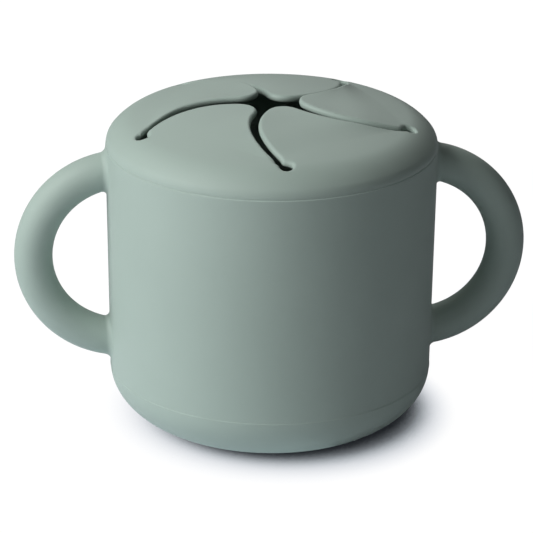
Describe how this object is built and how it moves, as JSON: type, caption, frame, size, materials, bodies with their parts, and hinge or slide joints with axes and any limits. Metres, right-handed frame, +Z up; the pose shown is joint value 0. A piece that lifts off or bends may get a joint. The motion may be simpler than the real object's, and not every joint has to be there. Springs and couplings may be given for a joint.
{
  "type": "toddler snack cup",
  "caption": "Round soft silicone snack cup with two loop handles and a push-on domed lid, slit into curved flaps that a small hand pushes through.",
  "frame": {"origin": "middle of the flat foot, on the surface that the cup stands on", "axes": "+Z up through the middle of the lid; +X towards the right handle, -X towards the left one; -Y is the front"},
  "size_m": [0.1372, 0.088, 0.0885],
  "materials": {
    "silicone": "matte"
  },
  "bodies": {
    "cup": {"cup": "silicone", "left_handle": "silicone", "right_handle": "silicone"},
    "lid": {"lid": "silicone"},
    "flap_1": {"flap_1": "silicone"},
    "flap_2": {"flap_2": "silicone"},
    "flap_3": {"flap_3": "silicone"},
    "flap_4": {"flap_4": "silicone"},
    "flap_5": {"flap_5": "silicone"}
  },
  "joints": [
    {"name": "lid_lift", "type": "slide", "parent": "cup", "child": "lid", "axis": [0, 0, 1], "range_m": [0, 0.05]},
    {"name": "flap_1_bend", "type": "hinge", "parent": "lid", "child": "flap_1", "pos_m": [0.01704, -0.02461, 0.08241], "axis": [-0.8221, -0.5693, 0], "range_deg": [-20, 70], "stiffness_Nm_per_rad": 0.02},
    {"name": "flap_2_bend", "type": "hinge", "parent": "lid", "child": "flap_2", "pos_m": [0.02867, 0.0086, 0.08241], "axis": [0.2874, -0.9578, 0], "range_deg": [-20, 70], "stiffness_Nm_per_rad": 0.02},
    {"name": "flap_3_bend", "type": "hinge", "parent": "lid", "child": "flap_3", "pos_m": [0.00068, 0.02993, 0.08241], "axis": [0.9997, -0.0227, 0], "range_deg": [-20, 70], "stiffness_Nm_per_rad": 0.02},
    {"name": "flap_4_bend", "type": "hinge", "parent": "lid", "child": "flap_4", "pos_m": [-0.02825, 0.00989, 0.08241], "axis": [0.3305, 0.9438, 0], "range_deg": [-20, 70], "stiffness_Nm_per_rad": 0.02},
    {"name": "flap_5_bend", "type": "hinge", "parent": "lid", "child": "flap_5", "pos_m": [-0.01814, -0.02381, 0.08241], "axis": [-0.7955, 0.606, 0], "range_deg": [-20, 70], "stiffness_Nm_per_rad": 0.02}
  ]
}
